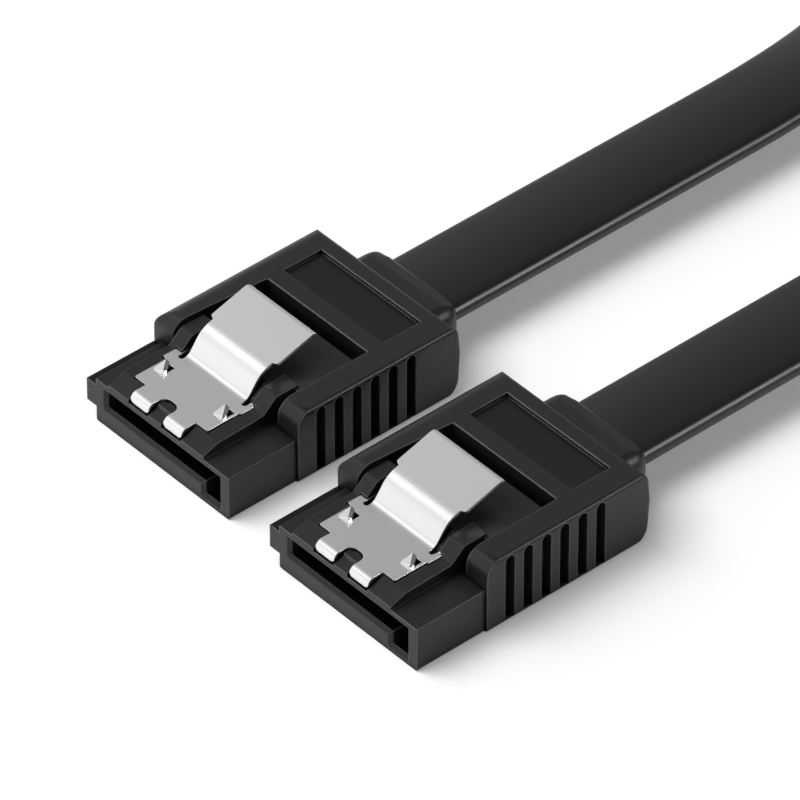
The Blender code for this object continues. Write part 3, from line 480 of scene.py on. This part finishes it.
def metal(name, colour, roughness, lines, depth, edge):
    """Metal sheet with fine lines drawn along X.

    The lines are given by how many there are in a millimetre along X and across it.
    """
    finish, nodes, links = new_material(name)
    shader = nodes["Principled BSDF"]
    shader.inputs["Base Color"].default_value = (*colour, 1)
    shader.inputs["Metallic"].default_value = 1.0
    along, across = lines
    stretch = nodes.new("ShaderNodeMapping")
    stretch.inputs["Scale"].default_value = (along / MM, across / MM, across / MM)
    links.new(nodes.new("ShaderNodeTexCoord").outputs["Object"], stretch.inputs["Vector"])
    drawn = noise(nodes, links, stretch.outputs["Vector"], 1.0, LINE_DETAIL)
    gloss = span(nodes, links, drawn, 0, 1, roughness - LINE_SHINIER, roughness + LINE_DULLER)
    links.new(gloss, shader.inputs["Roughness"])
    rounded = rounded_normal(nodes, edge * MM, SHEET_SAMPLES)
    links.new(relief(nodes, links, drawn, depth * MM, rounded), shader.inputs["Normal"])
    return finish


latch_finish = metal("latch_steel", (0.84, 0.84, 0.83), roughness=0.3, lines=(0.6, 9.0),
                     depth=0.002, edge=0.05)
contact_finish = metal("contact_gold", (0.86, 0.62, 0.26), roughness=0.28, lines=(1.0, 6.0),
                       depth=0.001, edge=0.03)
foil_finish = metal("pair_foil", (0.78, 0.79, 0.8), roughness=0.35, lines=(2.0, 2.0),
                    depth=0.01, edge=0.05)
# The paler edge colour of this finish is a painted highlight.
natural_finish = moulded("natural_plastic", (0.6, 0.6, 0.55), roughness=0.5, shine=0.5,
                         grain=(0.3, 0.002), edge=0.1, crease=(0.2, 0.5),
                         highlight_colour=(0.65, 0.65, 0.6, 1))
for finish in (latch_finish, contact_finish, foil_finish, natural_finish):
    print(finish.name, "has", len(finish.node_tree.nodes), "nodes")

# %% [markdown]
# ## Dressing the solids
#
# Most of the solids have the right shape already, and only get their finish. The boots and the
# cord get a finer shape too, further on.

# %% Dress
CONTACTS = range(1, 8)
WIRE_PAIRS = (1, 2)


def dress(node, finish):
    """Give a solid of the cable its finish."""
    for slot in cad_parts[node].material_slots:
        slot.material = finish


for letter in PLUGS:
    dress("housing_" + letter, housing_finish)
    dress("latch_" + letter, latch_finish)
    dress("inner_mould_" + letter, natural_finish)
    for index in CONTACTS:
        dress("contact_%s_%d" % (letter, index), contact_finish)
    for index in WIRE_PAIRS:
        dress("wire_pair_%s_%d" % (letter, index), foil_finish)
dress("cord_tie", strap_finish)
print("solids of the cable:", len(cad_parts))

# %% [markdown]
# ## The boots' collars
#
# Where the cord comes out, the boot ends in a collar with well rounded rear corners, so that
# nothing pinches the cord when it bends there. The solid boots have square corners there. A
# copy of each boot gets them round: its loose triangles are merged into whole faces, bisecting
# planes give the collar's end more corners to move, and those near its sides are drawn in along
# an arc. The left corner is round only above the cord's opening, as its wall is thin beside it.

# %% Boots
COLLAR_RADIUS = 1.1 * MM
COLLAR_STEPS = 6
COLLAR_ZONE = 1.5 * MM
ZONE_STEPS = 5
COLLAR_SLUMP = 0.35
OPENING_TOP = 3.5 * MM
TOP_ZONE = 0.5 * MM
SAME_PLACE = 0.001 * MM
SAME_PLANE = math.radians(0.3)
BOOT_SHARP = math.radians(35)


def clamped(value):
    """The value, but not under 0 or over 1."""
    return min(1.0, max(0.0, value))


def new_piece(name, mesh, finish, sharp):
    """Show a mesh in one finish, smooth except at edges that turn more than the sharp angle."""
    mesh.materials.clear()
    mesh.materials.append(finish)
    mesh.shade_smooth()
    mesh.set_sharp_from_angle(angle=sharp)
    piece = bpy.data.objects.new(name, mesh)
    bpy.context.scene.collection.objects.link(piece)
    return piece


def merged_copy(node):
    """A solid's mesh with its triangles joined and its flat faces whole again."""
    shape = bmesh.new()
    shape.from_mesh(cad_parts[node].data)
    bmesh.ops.remove_doubles(shape, verts=shape.verts, dist=SAME_PLACE)
    bmesh.ops.dissolve_limit(shape, angle_limit=SAME_PLANE, verts=shape.verts, edges=shape.edges)
    return shape


def cut(shape, point, normal, start):
    """Cut the part of a shape that lies behind x = start along a plane, and keep both sides."""
    verts = [vert for vert in shape.verts if vert.co.x > start]
    kept = set(verts)
    edges = [edge for edge in shape.edges if kept.intersection(edge.verts)]
    faces = [face for face in shape.faces if kept.intersection(face.verts)]
    bmesh.ops.bisect_plane(shape, geom=verts + edges + faces, plane_co=point, plane_no=normal)


def round_collar(shape):
    """Round the rear corners of a boot's collar."""
    start = max(vert.co.x for vert in shape.verts) - COLLAR_RADIUS
    end_verts = [vert for vert in shape.verts if vert.co.x > start]
    left = max(vert.co.y for vert in end_verts)
    right = min(vert.co.y for vert in end_verts)
    for step in range(COLLAR_STEPS):
        turn = math.radians(90 / COLLAR_STEPS * step)
        cut(shape, (start + COLLAR_RADIUS * math.sin(turn), 0, 0), (1, 0, 0), start)
    for step in range(1, ZONE_STEPS + 1):
        inward = COLLAR_ZONE * step / ZONE_STEPS
        cut(shape, (0, left - inward, 0), (0, 1, 0), start)
        cut(shape, (0, right + inward, 0), (0, 1, 0), start)
    for vert in shape.verts:
        back = max(0.0, vert.co.x - start)
        drawn = COLLAR_RADIUS - math.sqrt(max(0.0, COLLAR_RADIUS ** 2 - back ** 2))
        high = clamped((vert.co.z - OPENING_TOP) / TOP_ZONE)
        to_left = drawn * clamped(1 - (left - vert.co.y) / COLLAR_ZONE) * high
        to_right = drawn * clamped(1 - (vert.co.y - right) / COLLAR_ZONE)
        vert.co.y += to_right - to_left
        vert.co.z -= (to_left + to_right * high) * COLLAR_SLUMP


for letter in PLUGS:
    shape = merged_copy("boot_" + letter)
    round_collar(shape)
    bmesh.ops.triangulate(shape, faces=shape.faces[:])
    open_edges = sum(not edge.is_manifold for edge in shape.edges)
    mesh = bpy.data.meshes.new("boot_shell_" + letter)
    shape.to_mesh(mesh)
    shape.free()
    if "custom_normal" in mesh.attributes:
        mesh.attributes.remove(mesh.attributes["custom_normal"])
    shell = new_piece("boot_shell_" + letter, mesh, boot_finish, BOOT_SHARP)
    weighted = shell.modifiers.new("flat faces stay flat", "WEIGHTED_NORMAL")
    weighted.keep_sharp = True
    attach(shell, "cable")
    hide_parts("boot_" + letter)
    print("boot", letter, "has", len(mesh.polygons), "faces and", open_edges, "open edges")

# %% [markdown]
# ## The flat cord
#
# The cord is one length of flat cable from plug to plug, with flat faces and small round edges.
# Its section is swept along a way through space. At the plugs it lies flat. Further on it turns
# on its edge, because a flat cable only bends easily across its flat, and its spare length is
# folded into a hank with a strap round it.
#
# The points below steer a smooth curve and are not on it, so that no bend is sudden. The fourth
# number of each is its flatness: 1 lies flat and 0 stands on edge. The cord's sizes and its
# points are in millimetres.

# %% The cord's way
CORD_WIDTH = 6.7
CORD_THICKNESS = 1.55
CORD_EDGE = 0.5
CORD_CROWN = 0.26
CORD_LEVEL = 2.65
EDGE_LEVEL = 3.4
TIE_LEVEL = 4.4
STRAND_PITCH = 2.4
CORD_START = 17.45
CORD_STEPS = 620
STRAIGHT_POINTS = 5
STRAIGHT_PITCH = 9
EASE_LAST = 9
EASE_POINTS = 5

inner = STRAND_PITCH / 2
outer = STRAND_PITCH * 1.5
rise = (EDGE_LEVEL + TIE_LEVEL) / 2
start_a = plug_origin["a"].x / MM + CORD_START
start_b = plug_origin["b"].x / MM + CORD_START
side_a = plug_origin["a"].y / MM
side_b = plug_origin["b"].y / MM


def half_route(start, side):
    """Steering points (x, y, z, flatness) from a plug to the hank's middle."""
    straight = [(start + STRAIGHT_PITCH * step, side, CORD_LEVEL, 1) for step in range(STRAIGHT_POINTS)]
    leg = [(52, 10.4, CORD_LEVEL, 0.85), (60.5, 15, 3.0, 0.5), (69.4, 17.8, EDGE_LEVEL, 0.15),
           (78.4, 15.8, EDGE_LEVEL, 0), (85.6, 9.8, EDGE_LEVEL, 0), (91.5, 4.3, rise, 0),
           (97.5, outer, TIE_LEVEL, 0), (102.5, outer, TIE_LEVEL, 0), (107, 5.3, rise, 0)]
    far_loop = [(110.2, 10), (111.6, 16.8), (112.8, 24.4), (117, 31), (124.2, 33.4), (131.2, 30.4),
                (135, 23.4), (135, 14.8), (131.4, 7.6), (125.4, 3), (118.8, inner + 0.1)]
    back = [(111.5, inner, rise, 0), (104, inner, TIE_LEVEL, 0), (96, inner, TIE_LEVEL, 0)]
    near_loop = [(88.5, 3.2), (81.2, 9.2), (71.6, 13.4), (62, 11), (57.6, 0)]
    return (straight + leg + [(x, y, EDGE_LEVEL, 0) for x, y in far_loop] + back
            + [(x, y, EDGE_LEVEL, 0) for x, y in near_loop])


def other_half(half):
    """The same way for the second plug, mirrored, and eased over to that plug's own place."""
    route = []
    for index in range(len(half) - 2, -1, -1):
        x, y, z, flatness = half[index]
        share = clamped((EASE_LAST - index) / EASE_POINTS)
        route.append((x + (start_b - start_a) * share, (side_a + side_b) * share - y, z, -flatness))
    return route


def smooth_curve(route, share):
    """The point at a share of the way along a uniform cubic B-spline of the route's points."""
    spans = len(route) - 1
    first = [2 * here - after for here, after in zip(route[0], route[1])]
    last = [2 * here - before for here, before in zip(route[-1], route[-2])]
    steered = [first, *route, last]
    at = min(int(share * spans), spans - 1)
    t = share * spans - at
    weights = ((1 - t) ** 3, 3 * t ** 3 - 6 * t ** 2 + 4, -3 * t ** 3 + 3 * t ** 2 + 3 * t + 1, t ** 3)
    near = steered[at:at + 4]
    return [sum(weight * point[axis] for weight, point in zip(weights, near)) / 6 for axis in range(4)]


route = half_route(start_a, side_a)
route = route + other_half(route)
steps = [smooth_curve(route, index / CORD_STEPS) for index in range(CORD_STEPS + 1)]

# %% [markdown]
# ### The jacket
#
# A curve object can sweep any section: here a second curve, a rectangle with round corners and
# faces that swell a little, as a jacket does over the wires inside it. The curve keeps the
# section upright, and each point's tilt turns it by the flatness. The swept curve is then made
# a mesh, so that its edges can be shaded sharp where they are.

# %% Section of the cord
EDGE_SEGMENTS = 5
CROWN_CUTS = 11


def section_curve():
    """The cord's section as a closed curve: a rectangle with round corners and crowned faces."""
    outline = bmesh.new()
    bmesh.ops.create_grid(outline, x_segments=1, y_segments=1, size=0.5)
    bmesh.ops.scale(outline, vec=(CORD_THICKNESS * MM, CORD_WIDTH * MM, 1), verts=outline.verts)
    bmesh.ops.bevel(outline, geom=outline.verts[:], offset=CORD_EDGE * MM, offset_type="OFFSET",
                    segments=EDGE_SEGMENTS, profile=0.5, affect="VERTICES", material=-1)
    long_sides = [edge for edge in outline.edges if edge.calc_length() > CORD_WIDTH * MM / 2]
    bmesh.ops.subdivide_edges(outline, edges=long_sides, cuts=CROWN_CUTS)
    inner_edges = [edge for edge in outline.edges if len(edge.link_faces) == 2]
    bmesh.ops.dissolve_edges(outline, edges=inner_edges, use_verts=False)
    for vert in outline.verts:
        across = vert.co.y / (CORD_WIDTH * MM / 2)
        vert.co.x -= math.copysign(CORD_CROWN * MM * across ** 2, vert.co.x)
    face = next(iter(outline.faces))
    corners = [loop.vert.co.copy() for loop in face.loops]
    outline.free()
    section_data = bpy.data.curves.new("cord_section", "CURVE")
    spline = section_data.splines.new("POLY")
    spline.points.add(len(corners) - 1)
    for point, corner in zip(spline.points, corners):
        point.co = (corner.x, corner.y, 0, 1)
    spline.use_cyclic_u = True
    return bpy.data.objects.new("cord_section", section_data)


section = section_curve()
print("section has", len(section.data.splines[0].points), "corners")

# %% Jacket
QUARTER_TURN = math.radians(90)
JACKET_SHARP = math.radians(40)

way_data = bpy.data.curves.new("flat_jacket_way", "CURVE")
way_data.dimensions = "3D"
way_data.twist_mode = "Z_UP"
way_data.bevel_mode = "OBJECT"
way_data.bevel_object = section
way_data.use_fill_caps = True
spline = way_data.splines.new("POLY")
spline.points.add(CORD_STEPS)
for point, (x, y, z, flatness) in zip(spline.points, steps):
    point.co = (x * MM, y * MM, z * MM, 1)
    point.tilt = QUARTER_TURN * flatness
way = bpy.data.objects.new("flat_jacket_way", way_data)
bpy.context.scene.collection.objects.link(way)
swept = way.evaluated_get(bpy.context.evaluated_depsgraph_get())
jacket_mesh = bpy.data.meshes.new_from_object(swept)
bpy.data.objects.remove(way)
bpy.data.objects.remove(section)
jacket_mesh.name = "flat_jacket"
flat_jacket = new_piece("flat_jacket", jacket_mesh, jacket_finish, JACKET_SHARP)
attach(flat_jacket, "cable")
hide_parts("flat_cord")
print("jacket has", len(jacket_mesh.polygons), "faces")
